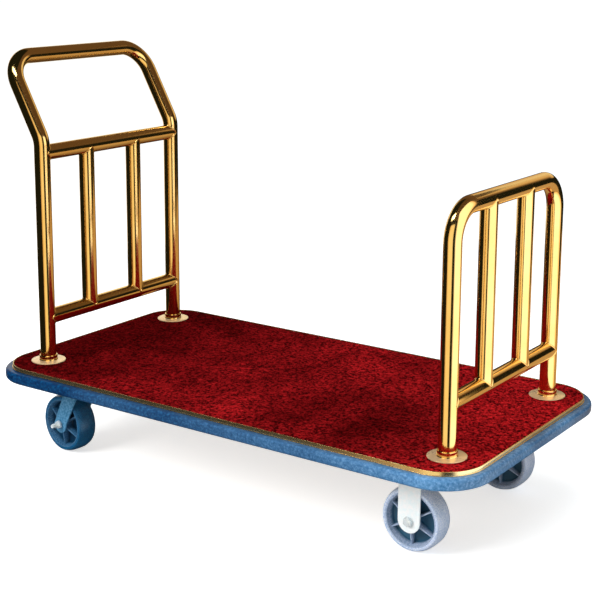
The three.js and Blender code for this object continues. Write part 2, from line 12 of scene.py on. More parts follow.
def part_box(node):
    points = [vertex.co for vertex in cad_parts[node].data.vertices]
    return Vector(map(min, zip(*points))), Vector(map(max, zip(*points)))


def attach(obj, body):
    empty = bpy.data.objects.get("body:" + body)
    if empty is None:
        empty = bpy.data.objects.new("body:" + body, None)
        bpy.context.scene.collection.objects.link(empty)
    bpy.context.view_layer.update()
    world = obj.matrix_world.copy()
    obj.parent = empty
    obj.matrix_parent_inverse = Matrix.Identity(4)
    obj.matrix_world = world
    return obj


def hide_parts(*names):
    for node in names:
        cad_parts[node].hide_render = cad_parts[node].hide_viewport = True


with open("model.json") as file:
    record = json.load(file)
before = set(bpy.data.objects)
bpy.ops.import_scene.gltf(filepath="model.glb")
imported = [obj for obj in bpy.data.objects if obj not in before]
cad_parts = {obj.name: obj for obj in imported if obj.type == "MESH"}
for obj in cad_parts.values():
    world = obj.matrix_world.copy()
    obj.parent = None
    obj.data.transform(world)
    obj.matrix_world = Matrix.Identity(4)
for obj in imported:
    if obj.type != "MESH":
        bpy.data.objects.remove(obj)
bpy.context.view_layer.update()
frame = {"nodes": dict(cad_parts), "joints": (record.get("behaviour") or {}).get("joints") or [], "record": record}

MM = 0.001

# Driving sizes that the frame's boxes don't give
GAP = 0.3 * MM
TUBE_RADIUS = 18.2 * MM
DECK_CORNER = 88 * MM
CORNER_BEND = 66 * MM
LEAN_BEND = 60 * MM
LEAN_HEIGHT = 519 * MM
HANDLE_LEAN = 102 * MM
HANDLE_HEIGHT = 701 * MM
FRONT_HOOP_HEIGHT = 484 * MM
WHEEL_RADIUS = 68 * MM
WHEEL_WIDTH = 50 * MM
RIM_RADIUS = 57.4 * MM
FORK_INNER = 28.2 * MM
FORK_SHEET = 3.5 * MM
SWIVEL_TRAIL = 38 * MM

# Places read from the frame
CARPET_LOW, CARPET_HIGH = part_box("carpet")
DECK_TOP = CARPET_HIGH.z
BOARD_TOP = CARPET_LOW.z
BOARD_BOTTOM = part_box("deck_board")[0].z
DECK_CENTRE = (CARPET_LOW + CARPET_HIGH) / 2
DECK_LENGTH = CARPET_HIGH.x - CARPET_LOW.x + 2 * GAP
DECK_WIDTH = CARPET_HIGH.y - CARPET_LOW.y + 2 * GAP
RAIL_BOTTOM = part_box("front_caster_rail")[0].z
PLATE_THICKNESS = 4 * MM
PLATE_BOTTOM = RAIL_BOTTOM - PLATE_THICKNESS
UP = Vector((0, 0, 1))


def middle(node):
    low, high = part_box(node)
    return (low + high) / 2


# Node materials


class Recipe:
    """A material's node tree. Its textures are placed by the object's own coordinates."""

    def __init__(self, name):
        self.material = bpy.data.materials.new(name)
        self.material.use_nodes = True
        self.tree = self.material.node_tree
        self.tree.nodes.clear()
        self.out = self.add("ShaderNodeOutputMaterial")
        self.place = self.add("ShaderNodeTexCoord").outputs["Object"]

    def add(self, kind, inputs=None, **settings):
        made = self.tree.nodes.new(kind)
        for key, value in settings.items():
            setattr(made, key, value)
        for key, value in (inputs or {}).items():
            if isinstance(value, bpy.types.NodeSocket):
                self.tree.links.new(value, made.inputs[key])
            else:
                made.inputs[key].default_value = value
        return made

    def stretched(self, scale):
        return self.add("ShaderNodeMapping", {"Vector": self.place, "Scale": scale}).outputs["Vector"]

    def along(self, axis):
        """How far along one of the object's own axes a point lies, in metres."""
        return self.add("ShaderNodeSeparateXYZ", {"Vector": self.place}).outputs[axis]

    def noise(self, scale, detail=3, roughness=0.5, place=None, distortion=0.0):
        inputs = {"Scale": scale, "Detail": detail, "Roughness": roughness, "Distortion": distortion}
        inputs["Vector"] = place or self.place
        return self.add("ShaderNodeTexNoise", inputs).outputs["Fac"]

    def cells(self, scale, feature="F1", place=None):
        inputs = {"Scale": scale, "Vector": place or self.place}
        return self.add("ShaderNodeTexVoronoi", inputs, feature=feature)

    def ramp(self, value, *stops):
        made = self.add("ShaderNodeValToRGB", {"Fac": value})
        elements = made.color_ramp.elements
        while len(elements) < len(stops):
            elements.new(0.5)
        for element, (place, color) in zip(elements, stops):
            element.position = place
            element.color = (*color, 1) if hasattr(color, "__len__") else (color, color, color, 1)
        return made.outputs["Color"]

    def blend(self, factor, first, second, mode="MIX"):
        made = self.add("ShaderNodeMix", data_type="RGBA", blend_type=mode)
        for index, value in ((0, factor), (6, first), (7, second)):
            if isinstance(value, bpy.types.NodeSocket):
                self.tree.links.new(value, made.inputs[index])
            else:
                made.inputs[index].default_value = value if index == 0 else (*value, 1)
        return made.outputs[2]

    def sum(self, first, second, share=1.0):
        scaled = self.add("ShaderNodeMath", {0: second, 1: share}, operation="MULTIPLY").outputs[0]
        return self.add("ShaderNodeMath", {0: first, 1: scaled}, operation="ADD").outputs[0]

    def bump(self, height, distance, strength=1.0):
        inputs = {"Height": height, "Distance": distance, "Strength": strength}
        return self.add("ShaderNodeBump", inputs).outputs["Normal"]

    def finish(self, **sockets):
        inputs = {key.replace("_", " "): value for key, value in sockets.items()}
        for key in ("Base Color", "Sheen Tint", "Specular Tint"):
            if isinstance(inputs.get(key), tuple):
                inputs[key] = (*inputs[key], 1)
        shader = self.add("ShaderNodeBsdfPrincipled", inputs)
        self.tree.links.new(shader.outputs[0], self.out.inputs["Surface"])
        return self.material


def brass(name, light, dark, smooth, worn, metal=1.0):
    """Brass under lacquer: faint smears change its gloss, and its colour drifts a little."""
    r = Recipe(name)
    smears = r.noise(9, 4, 0.6)
    grain = r.noise(900, 2, 0.5, r.stretched((1, 1, 0.06)))
    color = r.blend(r.ramp(smears, (0.35, 0.0), (0.7, 1.0)), light, dark)
    rough = r.ramp(smears, (0.3, smooth), (0.75, worn))
    normal = r.bump(r.sum(grain, smears, 4.0), 0.02 * MM, 0.35)
    return r.finish(Base_Color=color, Metallic=metal, Roughness=rough, Normal=normal)


def carpet_material():
    """Red cut pile flecked with near-black, in random darker patches, and darker round one fixed spot on the -Y
    side near the front posts. Painted shade darkens it towards the push hoop, and painted light lifts it towards
    the front end.
    """
    r = Recipe("carpet_pile")
    fleck = r.sum(r.sum(0.0, r.noise(165, 4, 0.6), 0.72), r.noise(75, 3, 0.6), 0.28)
    tuft = r.cells(240)
    red = r.ramp(fleck, (0.38, (0.018, 0.001, 0.0012)), (0.44, (0.085, 0.0030, 0.0036)),
                 (0.49, (0.26, 0.0062, 0.0078)), (0.56, (0.44, 0.0105, 0.0130)), (0.68, (0.70, 0.020, 0.024)))
    # Painted light and shade: the patches' mask falls along -X, so the carpet is darker towards the push hoop and
    # lighter towards the front end
    patch = r.sum(r.sum(0.24, r.noise(7, 2, 0.5), 0.48), r.along("X"), 0.32)
    spot_distance = r.add("ShaderNodeVectorMath", {0: r.place, 1: (0.33, -0.17, DECK_TOP)}, operation="DISTANCE")
    patch = r.sum(patch, r.ramp(spot_distance.outputs["Value"], (0.03, 1.0), (0.27, 0.0)), -0.27)
    patches_and_painted_shade = r.ramp(patch, (0.32, 0.22), (0.46, 0.52), (0.60, 0.82), (0.76, 1.2))
    color = r.blend(1.0, red, patches_and_painted_shade, "MULTIPLY")
    lift = r.sum(fleck, tuft.outputs["Distance"], -0.6)
    normal = r.bump(lift, 2.2 * MM, 0.8)
    return r.finish(Base_Color=color, Roughness=1.0, Normal=normal, Sheen_Weight=0.05, Sheen_Roughness=0.5,
                    Sheen_Tint=(0.8, 0.02, 0.03), Specular_IOR_Level=0.0)


def bumper_material():
    """Blue vinyl with a fine mottle. It is deep blue at the push hoop's end and paler towards the other. Painted
    light makes the near side paler than the far side, and lightest at the near front corner as a painted
    highlight.
    """
    r = Recipe("bumper_vinyl")
    mottle = r.noise(170, 5, 0.7)
    # Painted light: the mask rises towards +X and towards the -Y side, so the near front corner is lightest as a
    # painted highlight and the far side is darker as painted shade
    pale_and_painted_light = r.sum(r.sum(0.0, r.noise(5, 3), 0.7), r.along("X"), 0.75)
    pale_and_painted_light = r.ramp(r.sum(pale_and_painted_light, r.along("Y"), -0.4), (0.25, 0.0), (0.55, 0.20), (0.78, 0.42), (0.95, 0.9))
    deep = r.ramp(mottle, (0.36, (0.0002, 0.011, 0.052)), (0.53, (0.0004, 0.036, 0.12)),
                  (0.68, (0.002, 0.095, 0.23)))
    pale_and_lit_color = r.ramp(mottle, (0.34, (0.045, 0.19, 0.41)), (0.52, (0.12, 0.32, 0.59)),
                   (0.68, (0.28, 0.49, 0.79)))
    color = r.blend(pale_and_painted_light, deep, pale_and_lit_color)
    rough = r.ramp(mottle, (0.3, 0.30), (0.7, 0.44))
    normal = r.bump(r.sum(mottle, r.noise(700, 2), 0.3), 0.25 * MM, 0.5)
    return r.finish(Base_Color=color, Roughness=rough, Normal=normal, Specular_IOR_Level=0.2,
                    Coat_Weight=0.25, Coat_Roughness=0.22)


def wheel_material(name, low, high, pale, rough, speckle, painted_recess_shade=None):
    """Moulded rubber or plastic with a fine speckle and some dust. A hub gets painted shade in its recess, darker
    towards the web.
    """
    r = Recipe(name)
    dust = r.noise(28, 5, 0.65)
    fine = r.noise(420, 5, 0.75)
    color = r.blend(r.ramp(fine, (0.44, 0.0), (0.64, speckle)), r.ramp(dust, (0.3, low), (0.7, high)), pale)
    if painted_recess_shade:
        # Painted shade: the hub darkens towards its web, deep in the recess where shade falls
        depth = r.add("ShaderNodeMath", {0: r.along("Z")}, operation="ABSOLUTE").outputs[0]
        height = r.sum(r.sum(0.0, depth, 36.0), dust, 0.25)
        color = r.blend(r.ramp(height, (0.36, 0.0), (0.66, 1.0)), painted_recess_shade, color)
    normal = r.bump(r.sum(dust, fine, 0.35), 0.25 * MM, 0.6)
    return r.finish(Base_Color=color, Roughness=rough, Normal=normal)


def zinc_material(name, light, dark, metal, smooth, rough, mottle=75):
    """Zinc plate: a soft spangle, and duller patches."""
    r = Recipe(name)
    spangle = r.cells(170).outputs["Distance"]
    dull = r.noise(mottle, 5, 0.65)
    color = r.blend(r.ramp(dull, (0.38, 0.0), (0.62, 1.0)), light, dark)
    gloss = r.ramp(r.sum(dull, spangle, 0.25), (0.3, smooth), (0.8, rough))
    normal = r.bump(dull, 0.12 * MM, 0.5)
    return r.finish(Base_Color=color, Metallic=metal, Roughness=gloss, Normal=normal)


def wood_material():
    """Sealed plywood: long grain, and glue lines on its edges."""
    r = Recipe("plywood")
    grain = r.noise(60, 6, 0.6, r.stretched((0.12, 1, 1)), 0.4)
    pores = r.noise(700, 2, 0.5, r.stretched((0.04, 1, 1)))
    color = r.ramp(grain, (0.3, (0.24, 0.13, 0.055)), (0.55, (0.38, 0.22, 0.10)), (0.75, (0.50, 0.32, 0.16)))
    plies = r.add("ShaderNodeTexWave", {"Vector": r.place, "Scale": 105.0, "Distortion": 0.4},
                  bands_direction="Z")
    color = r.blend(r.ramp(plies.outputs["Fac"], (0.80, 0.0), (0.95, 0.45)), color, (0.14, 0.075, 0.035))
    normal = r.bump(r.sum(grain, pores, 0.5), 0.3 * MM, 0.5)
    return r.finish(Base_Color=color, Roughness=0.55, Normal=normal)


def steel_material(name, color, rough):
    """Plain machined metal."""
    r = Recipe(name)
    turned = r.noise(500, 3, 0.6, r.stretched((1, 1, 0.1)))
    gloss = r.ramp(turned, (0.3, rough * 0.8), (0.7, rough * 1.25))
    return r.finish(Base_Color=color, Metallic=1.0, Roughness=gloss, Normal=r.bump(turned, 0.05 * MM, 0.4))


FINISHES = {
    "tube_brass": brass("tube_brass", (0.95, 0.66, 0.28), (0.89, 0.57, 0.20), 0.09, 0.15),
    "flange_brass": brass("flange_brass", (0.97, 0.74, 0.46), (0.86, 0.58, 0.32), 0.20, 0.38, 0.6),
    "channel_brass": brass("channel_brass", (0.97, 0.76, 0.42), (0.74, 0.50, 0.22), 0.18, 0.30, 0.96),
    "carpet": carpet_material(),
    "bumper": bumper_material(),
    "tyre_rubber": wheel_material("tyre_rubber", (0.26, 0.41, 0.66), (0.56, 0.66, 0.90),
                                  (0.90, 0.93, 1.0), 0.5, 0.9),
    "hub_plastic": wheel_material("hub_plastic", (0.16, 0.27, 0.44), (0.34, 0.43, 0.62),
                                  (0.74, 0.80, 0.92), 0.45, 0.7, (0.022, 0.10, 0.18)),
    "zinc": zinc_material("zinc", (1.0, 1.0, 1.0), (0.90, 0.98, 1.0), 0.02, 0.25, 0.42, 110),
    "bolt_zinc": zinc_material("bolt_zinc", (0.97, 1.0, 1.0), (0.80, 0.90, 0.97), 0.3, 0.15, 0.28),
    "steel": steel_material("steel", (0.42, 0.43, 0.45), 0.35),
    "bronze": steel_material("bronze", (0.50, 0.34, 0.16), 0.4),
    "plywood": wood_material(),
}

# The rear casters get darker, bluer copies of the finishes: painted shade from the deck above them
SHADED_FINISHES = {
    "tyre_rubber": wheel_material("tyre_rubber_shaded", (0.0005, 0.040, 0.115), (0.002, 0.080, 0.20),
                                  (0.03, 0.23, 0.43), 0.32, 0.5),
    "hub_plastic": wheel_material("hub_plastic_shaded", (0.001, 0.060, 0.16), (0.02, 0.13, 0.28),
                                  (0.20, 0.36, 0.54), 0.42, 0.6, (0.0005, 0.03, 0.075)),
    "zinc": zinc_material("zinc_shaded", (0.12, 0.33, 0.54), (0.025, 0.16, 0.32), 0.15, 0.3, 0.5, 190),
}


# Meshes


@contextlib.contextmanager
def edited(data):
    """Opens a mesh for editing, and writes it back afterwards."""
    shape = bmesh.new()
    shape.from_mesh(data)
    yield shape
    shape.to_mesh(data)
    shape.free()


def placed(name, data):
    """A new object in the scene."""
    made = bpy.data.objects.new(name, data)
    bpy.context.scene.collection.objects.link(made)
    return made


def welded(name, data, smooth=True):
    """An object whose double points are merged and whose faces all look outwards."""
    with edited(data) as shape:
        bmesh.ops.remove_doubles(shape, verts=shape.verts, dist=0.002 * MM)
        bmesh.ops.recalc_face_normals(shape, faces=shape.faces)
        for face in shape.faces:
            face.smooth = smooth
    return placed(name, data)


def piece(name, points, faces, smooth=True):
    data = bpy.data.meshes.new(name)
    data.from_pydata([tuple(p) for p in points], [], faces)
    data.validate()
    return welded(name, data, smooth)


def settle(made, body, slot, *nodes, at=None, finish=None):
    """Puts a piece in place on its body, with its finish, and has it stand for its CAD nodes."""
    made.data.materials.clear()
    made.data.materials.append(finish or FINISHES[slot])
    if at is not None:
        made.matrix_world = at
    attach(made, body)
    if nodes:
        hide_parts(*nodes)
    return made


def crisp(made, angle=35):
    """Shades a piece smooth except across edges sharper than angle."""
    limit = math.radians(angle)
    with edited(made.data) as shape:
        for edge in shape.edges:
            edge.smooth = not edge.is_manifold or edge.calc_face_angle(0) < limit
    return made


def bevelled(made, width, segments=2, angle=35):
    """Rounds a piece's sharp edges."""
    limit = math.radians(angle)
    with edited(made.data) as shape:
        sharp = [e for e in shape.edges if e.is_manifold and e.calc_face_angle(0) > limit]
        bmesh.ops.bevel(shape, geom=sharp, offset=width, segments=segments, profile=0.5, affect="EDGES",
                        clamp_overlap=True)
    for face in made.data.polygons:
        face.use_smooth = True
    return crisp(made, 30)


def joined(name, parts):
    """Several meshes in one piece."""
    shape = bmesh.new()
    for part in parts:
        part.data.transform(part.matrix_world)
        shape.from_mesh(part.data)
        bpy.data.objects.remove(part)
    data = bpy.data.meshes.new(name)
    shape.to_mesh(data)
    shape.free()
    return placed(name, data)


def rounded(corners, steps=4):
    """A closed outline of (x, y, radius) corners, with each corner rounded to its radius."""
    outline = []
    count = len(corners)
    for i, (x, y, radius) in enumerate(corners):
        corner = Vector((x, y))
        before = Vector(corners[i - 1][:2]) - corner
        after = Vector(corners[(i + 1) % count][:2]) - corner
        half = before.angle(after) / 2
        if radius <= 0 or half > math.radians(89):
            outline.append(corner)
            continue
        before.normalize()
        after.normalize()
        reach = min(radius / math.tan(half), 0.49 * (Vector(corners[i - 1][:2]) - corner).length,
                    0.49 * (Vector(corners[(i + 1) % count][:2]) - corner).length)
        size = reach * math.tan(half)
        centre = corner + (before + after).normalized() * (size / math.sin(half))
        start = corner + before * reach - centre
        turn = start.angle_signed(corner + after * reach - centre)
        for step in range(steps + 1):
            arm = start.copy()
            arm.rotate(Matrix.Rotation(-turn * step / steps, 2))
            outline.append(centre + arm)
    return outline


def sheet_faces(rows, columns, wrap_rows, wrap_columns, offset=0):
    """Quads between rows of points, all with the same number of columns."""
    faces = []
    for i in range(rows if wrap_rows else rows - 1):
        for j in range(columns if wrap_columns else columns - 1):
            a = i * columns
            b = (i + 1) % rows * columns
            k = (j + 1) % columns
            faces.append([offset + a + j, offset + b + j, offset + b + k, offset + a + k])
    return faces


def shaded_if_rear(name, slot):
    """The finish of a caster's piece: the rear casters get the darker copies, as painted shade."""
    return SHADED_FINISHES[slot] if name.startswith("rear") else FINISHES[slot]


def turned(name, outline, sides=96):
    """A closed outline of (radius, height) turned about Z."""
    points = []
    for i in range(sides):
        angle = 2 * math.pi * i / sides
        across = Vector((math.cos(angle), math.sin(angle), 0))
        points += [across * max(p[0], 0) + UP * p[1] for p in outline]
    return piece(name, points, sheet_faces(sides, len(outline), True, True))


def ring_outline(corners, steps=4):
    """A rounded outline as plain pairs, for turned pieces and bands."""
    return [(p.x, p.y) for p in rounded(corners, steps)]


def bent_line(corners, bends, fine=math.radians(3)):
    """Points and directions along straight runs joined by round bends."""
    places = [corners[0]]
    ways = [(corners[1] - corners[0]).normalized()]
    for i, radius in enumerate(bends):
        inward = (corners[i + 1] - corners[i]).normalized()
        outward = (corners[i + 2] - corners[i + 1]).normalized()
        turn = inward.angle(outward)
        axis = inward.cross(outward).normalized()
        start = corners[i + 1] - inward * radius * math.tan(turn / 2)
        centre = start + axis.cross(inward) * radius
        steps = math.ceil(turn / fine)
        for step in range(steps + 1):
            spin = Matrix.Rotation(turn * step / steps, 3, axis)
            places.append(centre + spin @ (start - centre))
            ways.append(spin @ inward)
    places.append(corners[-1])
    ways.append((corners[-1] - corners[-2]).normalized())
    return places, ways


def swept(name, places, ways, section, closed=False):
    """A closed section of (across, up) points carried along a line without twisting."""
    side = ways[0].orthogonal().normalized()
    points = []
    for place, way in zip(places, ways):
        side = (side - way * side.dot(way)).normalized()
        rise = way.cross(side)
        points += [place + side * x + rise * y for x, y in section]
    count = len(section)
    faces = sheet_faces(len(places), count, closed, True)
    if not closed:
        faces.append(list(range(count)))
        faces.append([len(points) - count + j for j in reversed(range(count))])
    return piece(name, points, faces)


def circle(radius, sides=48):
    return [(radius * math.cos(2 * math.pi * i / sides), radius * math.sin(2 * math.pi * i / sides))
            for i in range(sides)]


def flat_plate(name, outlines, thickness, edge):
    """A plate of closed outlines, holes among them, from z = 0 up, with rounded edges."""
    curve = bpy.data.curves.new(name, "CURVE")
    curve.dimensions = "2D"
    curve.fill_mode = "BOTH"
    for outline in outlines:
        line = curve.splines.new("POLY")
        line.points.add(len(outline) - 1)
        for point, place in zip(line.points, outline):
            point.co = (place[0], place[1], 0, 1)
        line.use_cyclic_u = True
    curve.extrude = thickness / 2 - edge
    curve.bevel_depth = edge
    curve.bevel_resolution = 2
    curve.offset = -edge
    holder = placed(name, curve)
    bpy.context.view_layer.update()
    data = bpy.data.meshes.new_from_object(holder.evaluated_get(bpy.context.evaluated_depsgraph_get()))
    bpy.data.objects.remove(holder)
    data.transform(Matrix.Translation((0, 0, thickness / 2)))
    return crisp(welded(name, data))


def rounded_rectangle(half_x, half_y, radius, steps):
    """A rectangle's outline about the origin, with round corners."""
    return rounded([(-half_x, -half_y, radius), (half_x, -half_y, radius), (half_x, half_y, radius),
                    (-half_x, half_y, radius)], steps)


def hexagon(across):
    radius = across / math.sqrt(3)
    angles = [math.pi * (2 * i + 1) / 6 for i in range(6)]
    return [(radius * math.cos(angle), radius * math.sin(angle)) for angle in angles]


def hex_head(name, across, height):
    """A hexagon head standing on z = 0: its top's corners are turned off, as a real one's are."""
    lower = [Vector((x, y, 0)) for x, y in hexagon(across)]
    upper = [p + UP * height * 0.82 for p in lower]
    top = [p * 0.93 + UP * height for p in lower]
    faces = sheet_faces(3, 6, False, True)
    faces += [list(range(6)), list(range(12, 18))]
    return bevelled(piece(name, lower + upper + top, faces, smooth=False), 0.35 * MM, 2, 20)


def threaded(name, radius, bottom, top, pitch, sides=28):
    """A threaded rod's surface from z = bottom to top: the thread climbs as it goes round."""
    rows = math.ceil((top - bottom) / pitch * 6)
    points = []
    for i in range(rows + 1):
        z = bottom + (top - bottom) * i / rows
        end = min(1.0, (top - z) / pitch)
        for j in range(sides):
            phase = (z / pitch - j / sides) % 1
            depth = 0.55 * pitch * abs(2 * phase - 1)
            size = (radius - depth) * (0.86 + 0.14 * end)
            angle = 2 * math.pi * j / sides
            points.append((size * math.cos(angle), size * math.sin(angle), z))
    faces = sheet_faces(rows + 1, sides, False, True)
    faces += [list(range(sides)), [rows * sides + j for j in range(sides)]]
    return crisp(piece(name, points, faces), 50)


# Deck


def deck_edge(corner_steps=24, spacing=24 * MM):
    """Stations round the deck's edge: (point on the edge, outward way), from the middle of the rear edge."""
    x = DECK_LENGTH / 2 - DECK_CORNER
    y = DECK_WIDTH / 2 - DECK_CORNER
    stations = []

    def run(start, end, way, first):
        count = math.ceil((end - start).length / spacing)
        for i in range(0 if first else 1, count):
            stations.append((start.lerp(end, i / count), way))

    def bend(centre, begin):
        for i in range(corner_steps + 1):
            angle = begin + math.pi / 2 * i / corner_steps
            way = Vector((math.cos(angle), math.sin(angle), 0))
            stations.append((centre + way * DECK_CORNER, way))

    half = [Vector((-DECK_LENGTH / 2, 0, 0)), Vector((-DECK_LENGTH / 2, -y, 0))]
    run(half[0], half[1], Vector((-1, 0, 0)), True)
    bend(Vector((-x, -y, 0)), math.pi)
    run(Vector((-x, -DECK_WIDTH / 2, 0)), Vector((x, -DECK_WIDTH / 2, 0)), Vector((0, -1, 0)), False)
    bend(Vector((x, -y, 0)), 1.5 * math.pi)
    run(Vector((DECK_LENGTH / 2, -y, 0)), Vector((DECK_LENGTH / 2, y, 0)), Vector((1, 0, 0)), False)
    bend(Vector((x, y, 0)), 0)
    run(Vector((x, DECK_WIDTH / 2, 0)), Vector((-x, DECK_WIDTH / 2, 0)), Vector((0, 1, 0)), False)
    bend(Vector((-x, y, 0)), 0.5 * math.pi)
    run(Vector((-DECK_LENGTH / 2, y, 0)), Vector((-DECK_LENGTH / 2, 0, 0)), Vector((-1, 0, 0)), False)
    stations.append((Vector((-DECK_LENGTH / 2, 0, 0)), Vector((-1, 0, 0))))
    middle_place = Vector((DECK_CENTRE.x, DECK_CENTRE.y, 0))
    return [(place + middle_place, way) for place, way in stations]


def edge_band(name, section, seam=0.0):
    """A section of (reach, height) points carried round the deck. A seam leaves its ends that far apart."""
    stations = deck_edge()
    if seam > 0:
        stations[0] = (stations[0][0] + Vector((0, -seam / 2, 0)), stations[0][1])
        stations[-1] = (stations[-1][0] + Vector((0, seam / 2, 0)), stations[-1][1])
    else:
        stations = stations[:-1]
    points = [place + way * reach + UP * height for place, way in stations for reach, height in section]
    count = len(section)
    faces = sheet_faces(len(stations), count, seam <= 0, True)
    if seam > 0:
        faces += [list(range(count)), [len(points) - count + j for j in reversed(range(count))]]
    return piece(name, points, faces)


def edge_channel():
    low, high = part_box("edge_channel")
    bumper_low, bumper_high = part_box("bumper")
    wall = 2 * MM
    lip = 3.5 * MM
    shelf = 8 * MM
    inner = -14 * MM
    flange_top = BOARD_BOTTOM - GAP
    lip_bottom = bumper_high.z + GAP
    lip_top = lip_bottom + 1 * MM
    shelf_top = bumper_low.z - GAP
    small = 0.3 * MM
    corners = [
        (inner, flange_top - 1.6 * MM, small), (0, flange_top - 1.6 * MM, small), (0, low.z, small),
        (shelf, low.z, small), (shelf, shelf_top, small), (wall, shelf_top, small), (wall, lip_bottom, 0),
        (lip, lip_bottom, 0.45 * MM), (lip, lip_top, 0.45 * MM), (wall, lip_top, small),
        (wall, high.z, 0.95 * MM), (0, high.z, 0.95 * MM), (0, flange_top, small), (inner, flange_top, small),
    ]
    band = edge_band("edge_channel_skin", ring_outline(corners))
    return settle(crisp(band, 50), "cart", "channel_brass", "edge_channel")


def bumper():
    low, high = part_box("bumper")
    reach = high.y - DECK_WIDTH / 2 - DECK_CENTRE.y
    back = 2.3 * MM
    soft = 9.5 * MM
    corners = [(back, low.z, 0.8 * MM), (reach, low.z, soft), (reach, high.z, soft), (back, high.z, 0.8 * MM)]
    band = edge_band("bumper_skin", ring_outline(corners, 8), seam=0.5 * MM)
    return settle(crisp(band, 60), "cart", "bumper", "bumper")


def smooth_noise(x, y, cell, seed):
    """Smooth random values from 0 to 1 over the plane, which change over about one cell."""
    lattice = np.random.default_rng(seed).random((512, 512))
    u = x / cell
    v = y / cell
    i = np.floor(u).astype(int)
    j = np.floor(v).astype(int)
    s = u - i
    t = v - j
    s = s * s * (3 - 2 * s)
    t = t * t * (3 - 2 * t)
    low = lattice[i % 512, j % 512] * (1 - s) + lattice[(i + 1) % 512, j % 512] * s
    high = lattice[i % 512, (j + 1) % 512] * (1 - s) + lattice[(i + 1) % 512, (j + 1) % 512] * s
    return low * (1 - t) + high * t


def tufts(x, y, pitch, seed):
    """How high the nearest tufts stand, from 0 between them to 1 on the tallest."""
    random = np.random.default_rng(seed)
    offsets = random.random((256, 512, 2)) * 0.8 + 0.1
    tall = 0.55 + 0.45 * random.random((256, 512))
    i = np.floor(x / pitch).astype(int)
    j = np.floor(y / pitch).astype(int)
    height = np.zeros_like(x)
    for di in (-1, 0, 1):
        for dj in (-1, 0, 1):
            a = (i + di) % 256
            b = (j + dj) % 512
            away_x = x / pitch - (i + di) - offsets[a, b, 0]
            away_y = y / pitch - (j + dj) - offsets[a, b, 1]
            dome = np.clip(1 - (away_x**2 + away_y**2) / 0.72, 0, 1)
            height = np.maximum(height, tall[a, b] * np.sqrt(dome))
    return height


def carpet(posts):
    """The carpet's pile, as one sheet that rolls down at its edge and is pressed flat under the flanges."""
    spacing = 2.3 * MM
    pile_depth = 3.0 * MM
    edge_roll = 3.5 * MM
    flange_reach = 41 * MM
    post_hole = 24 * MM
    rows = math.ceil(DECK_WIDTH / spacing)
    columns = math.ceil(DECK_LENGTH / spacing)
    half_length = DECK_LENGTH / 2 - GAP
    half_width = DECK_WIDTH / 2 - GAP
    corner = DECK_CORNER - GAP
    y = np.linspace(-half_width, half_width, rows + 1)
    into_corner = np.clip(np.abs(y) - (half_width - corner), 0, corner)
    reach = half_length - corner + np.sqrt(corner**2 - into_corner**2)
    across = np.linspace(-1, 1, columns + 1)
    x = reach[:, None] * across[None, :]
    y = np.repeat(y[:, None], columns + 1, axis=1)
    beyond_x = np.clip(np.abs(x) - (half_length - corner), 0, None)
    beyond_y = np.clip(np.abs(y) - (half_width - corner), 0, None)
    in_corner = (beyond_x > 0) & (beyond_y > 0)
    from_side = np.minimum(half_length - np.abs(x), half_width - np.abs(y))
    from_edge = np.where(in_corner, corner - np.hypot(beyond_x, beyond_y), from_side)
    pile = 2.0 * MM * tufts(x + 2, y + 2, 4.6 * MM, 11)
    pile += 0.9 * MM * smooth_noise(x + 2, y + 2, 2.6 * MM, 12)
    pile += 0.8 * MM * smooth_noise(x + 2, y + 2, 30 * MM, 13)
    z = DECK_TOP - pile_depth + pile
    roll = np.clip(1 - from_edge / edge_roll, 0, 1)
    z -= 1.4 * MM * roll**2
    keep = np.ones_like(x, bool)
    for post in posts:
        away = np.hypot(x + DECK_CENTRE.x - post.x, y + DECK_CENTRE.y - post.y)
        z = np.where(away < flange_reach, np.minimum(z, DECK_TOP - 0.6 * MM), z)
        keep &= away > post_hole
    points = np.stack([x + DECK_CENTRE.x, y + DECK_CENTRE.y, z], axis=2).reshape(-1, 3)
    kept = keep.reshape(-1)
    faces = [f for f in sheet_faces(rows + 1, columns + 1, False, False) if all(kept[v] for v in f)]
    data = bpy.data.meshes.new("carpet_pile")
    data.from_pydata(points.tolist(), [], [f[::-1] for f in faces])
    with edited(data) as shape:
        bmesh.ops.delete(shape, geom=[v for v in shape.verts if not v.link_faces], context="VERTS")
        for face in shape.faces:
            face.smooth = True
    made = settle(placed("carpet_pile", data), "cart", "carpet", "carpet")
    return made


def caster_rail(node):
    low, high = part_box(node)
    size = high - low
    outline = rounded_rectangle(size.x / 2, size.y / 2, 8 * MM, 6)
    made = flat_plate(f"{node}_board", [outline], size.z, 1.6 * MM)
    place = Matrix.Translation(((low.x + high.x) / 2, (low.y + high.y) / 2, low.z))
    return settle(made, "cart", "plywood", node, at=place)


# Hoops


def hoop(node, corners, bends):
    places, ways = bent_line(corners, bends)
    made = swept(f"{node}_tube", places, ways, circle(TUBE_RADIUS))
    return settle(crisp(made), "cart", "tube_brass", node)


def coped_end(place, axis, way, sides, bite=0.0):
    """Points round the end of a tube along Y or Z, where it is cut to sit on the round tube it meets."""
    points = []
    for i in range(sides):
        angle = 2 * math.pi * i / sides
        inset = max(TUBE_RADIUS * abs(math.sin(angle)) - bite, 0) * way
        side = TUBE_RADIUS * math.sin(angle)
        along, up = (inset, side) if axis == "Y" else (side, inset)
        points.append(place + Vector((TUBE_RADIUS * math.cos(angle), along, up)))
    return points


def coped_tube(node, axis, start, end):
    """A straight tube along Y or Z whose ends are cut to sit on the round tubes that it meets."""
    sides = 48
    bite = 0.4 * MM
    points = coped_end(start, axis, 1, sides, bite) + coped_end(end, axis, -1, sides, bite)
    made = piece(f"{node}_tube", points, sheet_faces(2, sides, False, True))
    return settle(crisp(made), "cart", "tube_brass", node)


